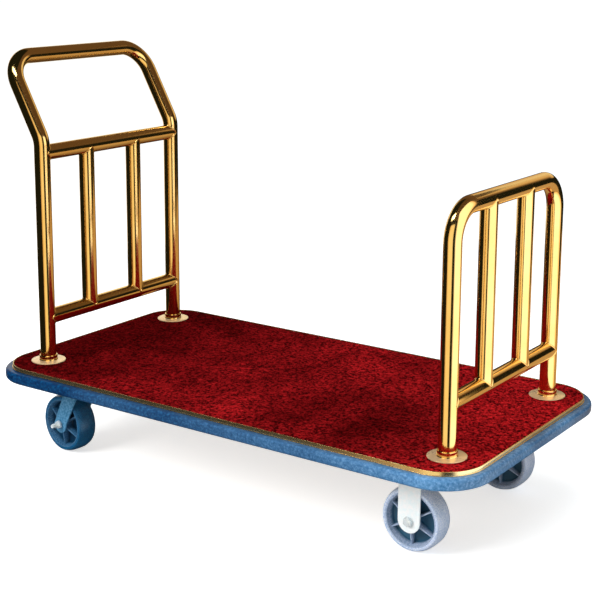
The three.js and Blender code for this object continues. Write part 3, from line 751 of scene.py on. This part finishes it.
def braze(name, place, axis, way):
    """The thin fillet of brazing metal round a coped joint."""
    size = 1.7 * MM
    sides = 64
    places = coped_end(place, axis, way, sides)
    ways = [(places[(i + 1) % sides] - places[i - 1]).normalized() for i in range(sides)]
    made = swept(name, places, ways, circle(size, 8), closed=True)
    return settle(made, "cart", "tube_brass")


def hoops():
    posts = {}
    for end in ("rear", "front"):
        for side in ("right", "left"):
            posts[f"{end}_{side}"] = middle(f"{end}_{side}_flange")
    for end in ("rear", "front"):
        right = posts[f"{end}_right"]
        left = posts[f"{end}_left"]
        if end == "rear":
            steps = [(0, LEAN_HEIGHT), (-HANDLE_LEAN, HANDLE_HEIGHT)]
            bends = [LEAN_BEND, CORNER_BEND, CORNER_BEND, LEAN_BEND]
        else:
            steps = [(0, FRONT_HOOP_HEIGHT)]
            bends = [CORNER_BEND, CORNER_BEND]
        rise = [Vector((right.x, right.y, BOARD_TOP))]
        rise += [Vector((right.x + lean, right.y, DECK_TOP + height)) for lean, height in steps]
        fall = [Vector((p.x, left.y, p.z)) for p in reversed(rise)]
        hoop(f"{end}_hoop", rise + fall, bends)
        bars = {level: middle(f"{end}_{level}_crossbar").z for level in
                (("lower", "upper") if end == "rear" else ("lower",))}
        for level, z in bars.items():
            start = Vector((right.x, right.y, z))
            stop = Vector((right.x, left.y, z))
            coped_tube(f"{end}_{level}_crossbar", "Y", start, stop)
            braze(f"{end}_{level}_braze_right", start, "Y", 1)
            braze(f"{end}_{level}_braze_left", stop, "Y", -1)
        top = bars.get("upper", DECK_TOP + FRONT_HOOP_HEIGHT)
        for side in ("right", "left"):
            y = middle(f"{end}_upright_{side}").y
            start = Vector((right.x, y, bars["lower"]))
            stop = Vector((right.x, y, top))
            coped_tube(f"{end}_upright_{side}", "Z", start, stop)
            braze(f"{end}_upright_{side}_braze_low", start, "Z", 1)
            braze(f"{end}_upright_{side}_braze_high", stop, "Z", -1)
    return posts


def post_foot(name, post):
    """The flange and its collar round a post's foot, and the bolt and washer that hold it from below."""
    bore = TUBE_RADIUS + 0.1 * MM
    radius = 39.5 * MM
    collar = 20.8 * MM
    height = 14 * MM
    washer_bore = 5.2 * MM
    washer_radius = 11 * MM
    washer_height = 1.6 * MM
    place = Matrix.Translation((post.x, post.y, DECK_TOP))
    disc = turned(f"{name}_flange_disc", ring_outline([
        (bore, 0, 0.1 * MM), (radius, 0, 0.2 * MM), (radius, 1.8 * MM, 1.2 * MM),
        (collar + 1 * MM, 3 * MM, 0.5 * MM), (bore, 3 * MM, 0.2 * MM),
    ], 5), 128)
    settle(crisp(disc, 50), "cart", "flange_brass", f"{name}_flange", at=place)
    ring = turned(f"{name}_flange_collar", ring_outline([
        (bore, 2.5 * MM, 0.1 * MM), (collar + 1 * MM, 2.5 * MM, 0.1 * MM), (collar, 4.5 * MM, 2 * MM),
        (collar, height, 0.9 * MM), (bore, height, 0.2 * MM),
    ], 5), 96)
    settle(crisp(ring, 50), "cart", "flange_brass", f"{name}_flange", at=place, finish=FINISHES["tube_brass"])
    head = hex_head("bolt_head", 17 * MM, 7 * MM)
    washer = turned("bolt_washer", ring_outline([
        (washer_bore, 0, 0.2 * MM), (washer_radius, 0, 0.5 * MM), (washer_radius, washer_height, 0.2 * MM),
        (washer_bore, washer_height, 0.2 * MM),
    ]), 48)
    under_board = Matrix.Translation((0, 0, -washer_height))
    head.matrix_world = under_board @ Matrix.Rotation(math.pi, 4, "X")
    washer.matrix_world = under_board
    bolt = joined(f"{name}_bolt_head", [head, washer])
    settle(bolt, "cart", "zinc", f"{name}_post_bolt", at=Matrix.Translation((post.x, post.y, BOARD_BOTTOM)))


# Casters


def tyre(name, body, place):
    half = WHEEL_WIDTH / 2
    inner = RIM_RADIUS + 0.1 * MM
    shoulder = 11 * MM
    corners = [
        (inner, -half + 1.5 * MM, 0.3 * MM), (inner + 1.5 * MM, -half, 0.8 * MM),
        (WHEEL_RADIUS - 4 * MM, -half + 0.6 * MM, 5 * MM),
        (WHEEL_RADIUS - 0.5 * MM, -half + shoulder, 14 * MM), (WHEEL_RADIUS, 0, 60 * MM),
        (WHEEL_RADIUS - 0.5 * MM, half - shoulder, 14 * MM),
        (WHEEL_RADIUS - 4 * MM, half - 0.6 * MM, 5 * MM),
        (inner + 1.5 * MM, half, 0.8 * MM), (inner, half - 1.5 * MM, 0.3 * MM),
    ]
    made = turned(f"{name}_tyre_ring", ring_outline(corners, 8), 144)
    return settle(crisp(made, 60), body, "tyre_rubber", f"{name}_tyre", at=place,
                  finish=shaded_if_rear(name, "tyre_rubber"))


def hub(name, body, place):
    """A moulded hub: rim, deep web, boss, and six ribs on each side that thin towards their edges."""
    half = WHEEL_WIDTH / 2
    rim_side = half - 1 * MM
    boss_side = 27 * MM
    web = 4.5 * MM
    web_radius = 50 * MM
    boss = 14 * MM
    bore = 8.1 * MM
    ribs = 6
    side = [
        (bore, boss_side, 0.4 * MM), (boss, boss_side, 1.2 * MM), (boss + 1.5 * MM, web, 2.5 * MM),
        (web_radius, web, 3 * MM), (RIM_RADIUS - 2.2 * MM, rim_side, 0.8 * MM),
        (RIM_RADIUS, rim_side, 0.4 * MM),
    ]
    corners = [(r, -h, size) for r, h, size in side] + side[::-1]
    parts = [turned("hub_body", ring_outline(corners, 5), 144)]
    for i in range(ribs):
        angle = math.pi * (2 * i + 1) / ribs
        for way in (1, -1):
            rib = rib_mesh(boss - 1.5 * MM, web_radius + 4 * MM, web - 1 * MM, 24 * MM, 17 * MM, way)
            rib.matrix_world = Matrix.Rotation(angle, 4, "Z")
            parts.append(rib)
    made = joined(f"{name}_hub_moulding", parts)
    return settle(crisp(made, 40), body, "hub_plastic", f"{name}_hub", at=place,
                  finish=shaded_if_rear(name, "hub_plastic"))


def rib_mesh(start, end, root, tall, low, way):
    """One rib, from the boss out to the rim along X, standing on the web along Z."""
    points = []
    steps = 10
    for i in range(steps + 1):
        share = i / steps
        x = start + (end - start) * share
        top = tall + (low - tall) * share
        crest = 1.3 * MM + 1.4 * MM * (1 - share) ** 2
        thick = crest + 1.0 * MM
        for width, z in ((thick + 1.2 * MM, root), (thick, root + 2 * MM), (crest, top - 0.6 * MM),
                         (crest - 0.6 * MM, top), (0.6 * MM - crest, top), (-crest, top - 0.6 * MM),
                         (-thick, root + 2 * MM), (-thick - 1.2 * MM, root)):
            points.append((x, width, z * way))
    faces = sheet_faces(steps + 1, 8, False, True)
    faces += [list(range(8)), [steps * 8 + j for j in range(8)]]
    return piece("rib", points, faces)


def lie_along_y(way=1):
    """Turns what stands on Z so that it points along Y, or along -Y."""
    return Matrix.Rotation(-way * math.pi / 2, 4, "X")


def axle(name, body, place, nut_side, thread_end):
    """The axle bolt with its washer, and the lock nut with the bolt's threaded end."""
    outer = FORK_INNER + FORK_SHEET
    washer = 1.4 * MM
    washer_bore = 4.5 * MM
    washer_radius = 10.5 * MM
    head = hex_head("axle_head", 17 * MM, 6.4 * MM - washer)
    head.matrix_world = lie_along_y(-nut_side) @ Matrix.Translation((0, 0, outer + washer))
    disc = turned("axle_washer", ring_outline([
        (washer_bore, 0, 0.1 * MM), (washer_radius, 0, 0.4 * MM), (washer_radius, washer, 0.4 * MM),
        (washer_bore, washer, 0.1 * MM),
    ]), 48)
    disc.matrix_world = lie_along_y(-nut_side) @ Matrix.Translation((0, 0, outer))
    shank = turned("axle_shank", [(0, -outer), (4.95 * MM, -outer), (4.95 * MM, outer), (0, outer)], 32)
    shank.matrix_world = lie_along_y(1)
    nut_top = outer + GAP + 8 * MM
    end = threaded("axle_thread", 5 * MM, outer, nut_top + thread_end, 1.5 * MM)
    end.matrix_world = lie_along_y(nut_side)
    bolt = joined(f"{name}_axle_bolt_steel", [head, disc, shank, end])
    settle(bolt, body, "zinc", f"{name}_axle_bolt", at=place, finish=FINISHES["bolt_zinc"])
    nut = hex_head("nut_body", 17 * MM, 6.2 * MM)
    nut.matrix_world = Matrix.Translation((0, 0, outer + GAP))
    collar = turned("nut_collar", ring_outline([
        (5.2 * MM, 5.5 * MM, 0.1 * MM), (7.4 * MM, 5.5 * MM, 0.2 * MM), (7.0 * MM, 8 * MM, 0.8 * MM),
        (5.2 * MM, 8 * MM, 0.2 * MM),
    ]), 48)
    collar.matrix_world = Matrix.Translation((0, 0, outer + GAP))
    nut = joined(f"{name}_lock_nut", [nut, collar])
    nut.data.transform(lie_along_y(nut_side))
    settle(nut, body, "zinc", f"{name}_axle_nut", at=place, finish=FINISHES["bolt_zinc"])


def bent_fork(name, rows):
    """Sheet steel bent to a U: rows of (y, z, middle x, half width) along it, with the sheet's thickness."""
    columns = 12
    points = []
    for y, z, x, half in rows:
        for j in range(columns + 1):
            points.append((x + half * (2 * j / columns - 1), y, z))
    made = piece(name, points, sheet_faces(len(rows), columns + 1, False, False))
    with edited(made.data) as shape:
        bmesh.ops.solidify(shape, geom=shape.faces[:], thickness=FORK_SHEET)
        bmesh.ops.recalc_face_normals(shape, faces=shape.faces)
    return made


def fork_rows(axle_x, leg_radius, top, top_x, top_half, bend):
    """Rows down one leg of a fork, round its foot at the axle, from the middle of the top."""
    middle_y = FORK_INNER + FORK_SHEET / 2
    rows = []
    straight_top = top - bend

    def at(z):
        share = (z - WHEEL_RADIUS) / (top - WHEEL_RADIUS)
        x = axle_x + (top_x - axle_x) * share
        half = leg_radius + (top_half - leg_radius) * max(share, 0) ** 2
        if z < WHEEL_RADIUS:
            drop = min((WHEEL_RADIUS - z) / leg_radius, 1)
            half = leg_radius * math.sqrt(max(1 - drop**2, 0.0004))
            x = axle_x
        return x, half

    foot_steps = 14
    for i in range(foot_steps + 1):
        z = WHEEL_RADIUS - leg_radius * math.cos(math.pi / 2 * i / foot_steps)
        rows.append((middle_y, z, *at(z)))
    for i in range(1, 7):
        z = WHEEL_RADIUS + (straight_top - WHEEL_RADIUS) * i / 6
        rows.append((middle_y, z, *at(z)))
    for i in range(1, 7):
        angle = math.pi / 2 * i / 6
        z = straight_top + bend * math.sin(angle)
        rows.append((middle_y - bend * (1 - math.cos(angle)), z, *at(z)))
    other = [(-y, z, x, half) for y, z, x, half in reversed(rows)]
    return rows + other


def caster_plate(name):
    plate = flat_plate(name, [rounded_rectangle(46 * MM, 33 * MM, 9 * MM, 8)], PLATE_THICKNESS, 0.6 * MM)
    plate.matrix_world = Matrix.Translation((0, 0, PLATE_BOTTOM))
    return plate


def plate_screws(name, place):
    """The four hexagon-headed screws that hold a caster plate up against its rail."""
    parts = []
    for x in (-36 * MM, 36 * MM):
        for y in (-23 * MM, 23 * MM):
            head = hex_head("screw", 11 * MM, 4.5 * MM)
            flange = turned("screw_flange", ring_outline([
                (0, -1.2 * MM, 0), (8 * MM, -1.2 * MM, 0.2 * MM), (7.4 * MM, 0, 0.4 * MM), (0, 0.2 * MM, 0),
            ]), 32)
            spin = Matrix.Rotation(math.pi, 4, "X") @ Matrix.Rotation(0.4 + 37 * x + 11 * y, 4, "Z")
            for part in (head, flange):
                part.matrix_world = Matrix.Translation((x, y, PLATE_BOTTOM - 1.2 * MM)) @ spin
                parts.append(part)
    return settle(joined(f"{name}_plate_screws", parts), "cart", "zinc", at=place)


def rigid_caster(name, joint):
    spin_axle = Vector(joint["pos_m"])
    base = Matrix.Translation((spin_axle.x, spin_axle.y, 0))
    rows = fork_rows(0, 25 * MM, PLATE_BOTTOM - FORK_SHEET / 2, 0, 25 * MM, 5 * MM)
    fork = bevelled(bent_fork("horn", rows), 0.5 * MM, 2, 50)
    made = joined(f"{name}_rigid_fork", [fork, caster_plate("plate")])
    settle(made, "cart", "zinc", f"{name}_fork", at=base)
    plate_screws(name, base)
    wheel_place = Matrix.Translation(spin_axle)
    nut_side = 1 if "right" in name else -1
    axle(name, "cart", wheel_place, nut_side, 3 * MM)
    wheel(name, wheel_place)


def wheel(name, place):
    upright = place @ Matrix.Rotation(math.pi / 2, 4, "X")
    tyre(name, f"{name}_wheel", upright)
    hub(name, f"{name}_wheel", upright)


def swivel_caster(name, swivel, joint):
    pin = Vector(swivel["pos_m"])
    base = Matrix.Translation((pin.x, pin.y, 0))
    axis = Vector(joint["axis"])
    turn = Matrix.Rotation(math.atan2(-axis.x, axis.y), 4, "Z")
    turned_base = base @ turn
    body = f"{name}_swivel"
    crown_top = 161 * MM
    rows = fork_rows(-SWIVEL_TRAIL, 21 * MM, crown_top - 2 * MM - FORK_SHEET / 2, 7 * MM, 24 * MM, 7 * MM)
    legs = bevelled(bent_fork("legs", rows), 0.5 * MM, 2, 50)
    crown = turned("crown", ring_outline([
        (6.3 * MM, crown_top - 6 * MM, 0.4 * MM), (24 * MM, crown_top - 6 * MM, 1 * MM),
        (31 * MM, crown_top - 5 * MM, 1.5 * MM), (31 * MM, crown_top - 1 * MM, 1.2 * MM),
        (27 * MM, crown_top, 1 * MM), (6.3 * MM, crown_top, 0.4 * MM),
    ]), 96)
    fork = joined(f"{name}_swivel_fork", [legs, crown])
    # The rear swivel fork gets the darker zinc copy, as painted shade
    settle(fork, body, "zinc", f"{name}_fork", at=turned_base, finish=SHADED_FINISHES["zinc"])
    race_top = crown_top + 6 * MM
    cup = turned("cup", ring_outline([
        (23 * MM, race_top, 0.5 * MM), (31 * MM, race_top, 1 * MM), (31.5 * MM, race_top + 4 * MM, 2 * MM),
        (36 * MM, PLATE_BOTTOM, 1 * MM), (23 * MM, PLATE_BOTTOM + 1 * MM, 0),
    ]), 96)
    mount = joined(f"{name}_swivel_mount", [caster_plate("plate"), cup])
    settle(mount, "cart", "zinc", f"{name}_swivel_plate", at=base)
    plate_screws(name, base)
    wheel_place = turned_base @ Matrix.Translation((-SWIVEL_TRAIL, 0, WHEEL_RADIUS))
    nut_side = -1 if "right" in name else 1
    axle(name, body, wheel_place, nut_side, 14 * MM)
    wheel(name, wheel_place)


def casters():
    joints = {joint["name"]: joint for joint in frame["joints"]}
    for side in ("right", "left"):
        rigid_caster(f"front_{side}", joints[f"front_{side}_wheel_spin"])
        swivel_caster(f"rear_{side}", joints[f"rear_{side}_swivel_turn"], joints[f"rear_{side}_wheel_spin"])


def finish_cad_nodes():
    """The CAD nodes that stay are given their slot's material."""
    slots = {part["node"]: part["material_slot"] for part in frame["record"]["subparts"]}
    for node, made in frame["nodes"].items():
        made.data.materials.clear()
        made.data.materials.append(FINISHES[slots[node]])


# Studio


def area_light(name, place, target, width, height, power, color=(1, 1, 1)):
    light = bpy.data.lights.new(name, "AREA")
    light.shape = "RECTANGLE"
    light.size = width
    light.size_y = height
    light.energy = power
    light.color = color
    made = placed(name, light)
    made.location = place
    made.rotation_mode = "QUATERNION"
    made.rotation_quaternion = (Vector(target) - Vector(place)).to_track_quat("-Z", "Y")
    made.visible_glossy = False
    return made


def glowing_card(name, start, end, rise, stops, strength=1.0):
    """A card that only shows in reflections. It runs from start to end, and rise is its other side. Stops
    give its colour along the way."""
    start, end, rise = Vector(start), Vector(end), Vector(rise)
    made = piece(name, [start, end, end + rise, start + rise], [[0, 1, 2, 3]])
    r = Recipe(name)
    way = (end - start) / (end - start).length_squared
    share = r.add("ShaderNodeVectorMath", {0: r.place, 1: tuple(way)}, operation="DOT_PRODUCT")
    share = r.add("ShaderNodeMath", {0: share.outputs["Value"], 1: start.dot(way)}, operation="SUBTRACT")
    glow = r.add("ShaderNodeEmission", {"Color": r.ramp(share.outputs[0], *stops), "Strength": strength})
    r.tree.links.new(glow.outputs[0], r.out.inputs["Surface"])
    made.data.materials.append(r.material)
    made.visible_camera = False
    made.visible_diffuse = False
    made.visible_shadow = False
    made.visible_transmission = False
    return made


def floor():
    """A pale matt floor. It glows a little for the camera only, and doesn't show in reflections."""
    made = piece("floor", [(30 * math.cos(a), 30 * math.sin(a), 0) for a in
                           (math.pi * i / 32 for i in range(64))], [list(range(64))])
    r = Recipe("floor")
    r.finish(Base_Color=(0.74, 0.74, 0.74), Roughness=0.9, Specular_IOR_Level=0.0)
    matt = r.out.inputs["Surface"].links[0].from_socket
    rays = r.add("ShaderNodeLightPath").outputs["Is Camera Ray"]
    lift = r.add("ShaderNodeMath", {0: rays, 1: 0.64}, operation="MULTIPLY").outputs[0]
    glow = r.add("ShaderNodeEmission", {"Strength": lift})
    both = r.add("ShaderNodeAddShader", {0: matt, 1: glow.outputs[0]})
    r.tree.links.new(both.outputs[0], r.out.inputs["Surface"])
    made.data.materials.append(r.material)
    made.visible_glossy = False


def sky():
    """A pale, slightly cool sky that lights the cart. The camera sees it white, and the brass nearly dark."""
    world = bpy.data.worlds.new("studio")
    bpy.context.scene.world = world
    world.use_nodes = True
    tree = world.node_tree
    tree.nodes.clear()
    surface = None
    rays = tree.nodes.new("ShaderNodeLightPath")
    shades = [((0.90, 0.96, 1.0, 1), 0.6, None), ((0.012, 0.013, 0.008, 1), 1.0, "Is Glossy Ray"),
              ((1, 1, 1, 1), 1.0, "Is Camera Ray")]
    for color, strength, ray in shades:
        shade = tree.nodes.new("ShaderNodeBackground")
        shade.inputs["Color"].default_value = color
        shade.inputs["Strength"].default_value = strength
        if ray is None:
            surface = shade.outputs[0]
            continue
        mix = tree.nodes.new("ShaderNodeMixShader")
        tree.links.new(rays.outputs[ray], mix.inputs[0])
        tree.links.new(surface, mix.inputs[1])
        tree.links.new(shade.outputs[0], mix.inputs[2])
        surface = mix.outputs[0]
    out = tree.nodes.new("ShaderNodeOutputWorld")
    tree.links.new(surface, out.inputs["Surface"])


def studio():
    """Soft light from the front left and above. The brass mirrors narrow cards close in front of the cart and
    beyond its far end, dim ones behind and above, and darkness elsewhere."""
    floor()
    sky()
    area_light("key", (-1.3, -3.2, 2.3), (0, 0, 0.25), 1.8, 1.4, 115, (1.0, 0.99, 0.97))
    area_light("top", (0.4, 0.3, 3.2), (0, 0, 0.2), 2.4, 1.8, 30)
    dark, brown, orange = (0.012, 0.013, 0.008), (0.13, 0.078, 0.04), (0.78, 0.54, 0.27)
    gold, cream = (1.0, 0.88, 0.56), (1.0, 1.0, 0.93)
    all_brown = [(0.0, brown), (1.0, brown)]
    glowing_card("card_left", (-0.27, -1.55, -0.5), (1.14, -1.28, -0.5), (0, 0, 2.15),
                 [(0.0, dark), (0.08, orange), (0.35, gold), (0.92, gold), (1.0, dark)], 1.1)
    glowing_card("card_right", (0.84, -0.46, -0.5), (1.0, 0.50, -0.5), (0, 0, 1.95),
                 [(0.0, dark), (0.09, cream), (0.72, cream), (0.92, orange), (1.0, dark)], 1.65)
    glowing_card("card_far", (-1.2, 3.0, 1.15), (1.75, 3.0, 1.15), (0, 0, 1.25),
                 [(0.0, brown), (0.15, orange), (0.45, gold), (0.85, orange), (1.0, brown)], 0.9)
    glowing_card("card_far_left", (-4.5, 3.0, 1.1), (-1.2, 3.0, 1.1), (0, 0, 1.4), all_brown)
    glowing_card("card_far_right", (1.75, 3.0, 1.75), (2.8, 3.0, 1.75), (0, 0, 0.75), all_brown)
    glowing_card("card_above", (-4.5, 3.0, 2.5), (3.2, 3.0, 2.5), (0, -0.4, 2.0), all_brown)
    glowing_card("card_ceiling", (0.2, -1.4, 2.3), (2.4, -1.4, 2.3), (0, 2.5, 0), all_brown, 0.8)
    glowing_card("card_rear", (-1.4, 2.1, -0.6), (-2.5, 0.4, -0.6), (0, 0, 2.3),
                 [(0.0, dark), (0.15, gold), (0.7, cream), (1.0, orange)])
    glowing_card("card_front", (-1.3, -1.7, 2.5), (1.9, -1.1, 2.5), (0, 0.6, 0),
                 [(0.0, dark), (0.3, cream), (0.8, cream), (1.0, dark)], 8.0)
    glowing_card("card_low", (-3.0, 0.42, 0.01), (1.6, 0.42, 0.01), (0, 2.6, 0),
                 [(0.0, brown), (0.5, brown), (0.75, orange), (1.0, orange)], 0.75)


def camera():
    azimuth = math.radians(33.6465)
    elevation = math.radians(11.2964)
    roll = math.radians(0.5783)
    distance = 3.0597
    target = Vector((0.0905, 0.0629, 0.5963))
    back = Vector((math.sin(azimuth) * math.cos(elevation), -math.cos(azimuth) * math.cos(elevation),
                   math.sin(elevation)))
    data = bpy.data.cameras.new("camera")
    data.sensor_width = 36
    data.lens = 82.733
    data.shift_x = -0.0586
    data.shift_y = -0.1420
    data.clip_start = 0.05
    data.clip_end = 100
    made = placed("camera", data)
    made.location = target + back * distance
    made.rotation_mode = "QUATERNION"
    aim = (-back).to_track_quat("-Z", "Y").to_matrix().to_4x4()
    made.rotation_quaternion = (aim @ Matrix.Rotation(roll, 4, "Z")).to_quaternion()
    bpy.context.scene.camera = made


camera()
studio()
finish_cad_nodes()
edge_channel()
bumper()
POSTS = hoops()
for post_name, post_place in POSTS.items():
    post_foot(post_name, post_place)
carpet(list(POSTS.values()))
for rail in ("front_caster_rail", "rear_caster_rail"):
    caster_rail(rail)
casters()
bpy.context.scene.view_settings.view_transform = "Standard"
